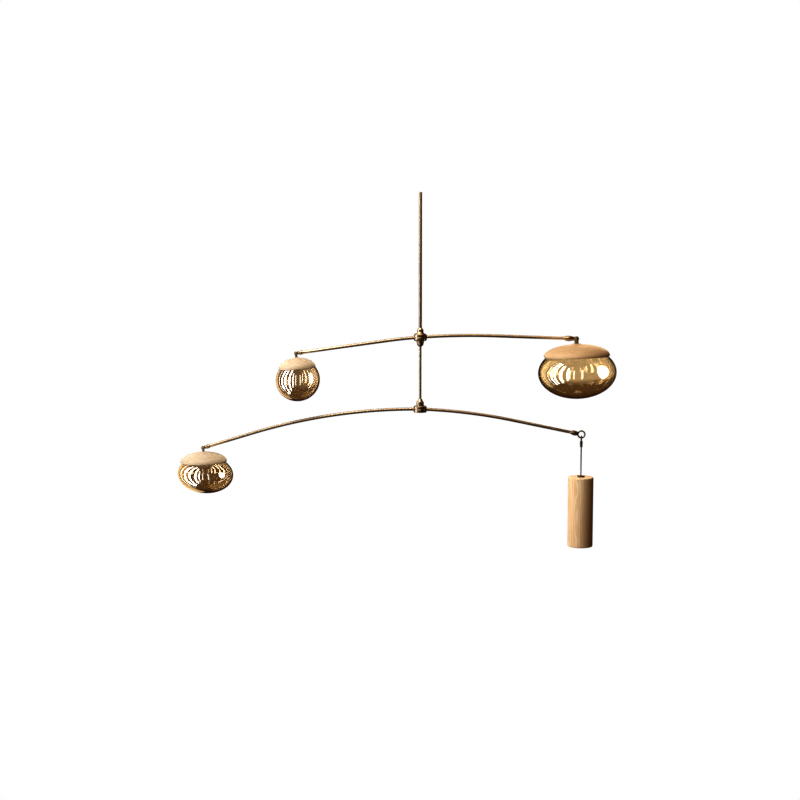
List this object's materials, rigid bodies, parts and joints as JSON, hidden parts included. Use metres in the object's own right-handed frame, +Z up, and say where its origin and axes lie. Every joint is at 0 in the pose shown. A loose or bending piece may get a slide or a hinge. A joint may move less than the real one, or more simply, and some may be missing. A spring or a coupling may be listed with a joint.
{
  "type": "mobile chandelier",
  "caption": "Brass mobile chandelier: bowed arms on a drop rod, blown amber glass shades under turned oak caps, and a hanging oak counterweight.",
  "frame": {"origin": "centre of the drop rod's top end", "axes": "+Z up along the drop rod, +X to the side of the large shade, along the arms; the front looks along -Y"},
  "size_m": [1.4038, 0.249, 1.1336],
  "materials": {
    "brass": "dark antique brass, brushed, worn bright on edges",
    "dark_metal": "dark bronze-brown patina",
    "oak": "pale oak, fine grain, matt oil",
    "glass": "blown, amber lustre, mirror-bright outside"
  },
  "bodies": {
    "stem": {"drop_rod": "brass", "upper_top_collar": "brass", "upper_bottom_collar": "brass", "lower_rod": "brass", "lower_collar": "brass"},
    "upper_tier": {"upper_drum": "brass", "upper_left_arm": "brass", "upper_right_arm": "brass", "upper_left_ferrule": "brass", "upper_right_ferrule": "brass"},
    "lower_tier": {"lower_drum": "brass", "lower_left_arm": "brass", "lower_right_arm": "brass", "lower_left_ferrule": "brass", "eye_ferrule": "brass", "hanger_wire": "dark_metal", "crimp_sleeve": "dark_metal", "weight_collar": "dark_metal", "oak_weight": "oak"},
    "small_shade": {"small_shade_knuckle": "brass", "small_shade_pivot_screw": "brass", "small_shade_cap": "oak", "small_shade_glass": "glass"},
    "large_shade": {"large_shade_knuckle": "brass", "large_shade_pivot_screw": "brass", "large_shade_cap": "oak", "large_shade_glass": "glass"},
    "medium_shade": {"medium_shade_knuckle": "brass", "medium_shade_pivot_screw": "brass", "medium_shade_cap": "oak", "medium_shade_glass": "glass"}
  },
  "joints": [
    {"name": "upper_tier_turn", "type": "hinge", "parent": "stem", "child": "upper_tier", "pos_m": [0, 0, -0.458], "axis": [0, 0, 1], "range_deg": [-175, 175]},
    {"name": "lower_tier_turn", "type": "hinge", "parent": "stem", "child": "lower_tier", "pos_m": [0, 0, -0.6883], "axis": [0, 0, 1], "range_deg": [-175, 175]},
    {"name": "small_shade_tilt", "type": "hinge", "parent": "upper_tier", "child": "small_shade", "pos_m": [-0.39614, 0, -0.50916], "axis": [0, 1, 0], "range_deg": [-15, 15]},
    {"name": "large_shade_tilt", "type": "hinge", "parent": "upper_tier", "child": "large_shade", "pos_m": [0.4972, 0, -0.46266], "axis": [0, 1, 0], "range_deg": [-15, 15]},
    {"name": "medium_shade_tilt", "type": "hinge", "parent": "lower_tier", "child": "medium_shade", "pos_m": [-0.69641, 0, -0.81316], "axis": [0, 1, 0], "range_deg": [-15, 15]}
  ]
}
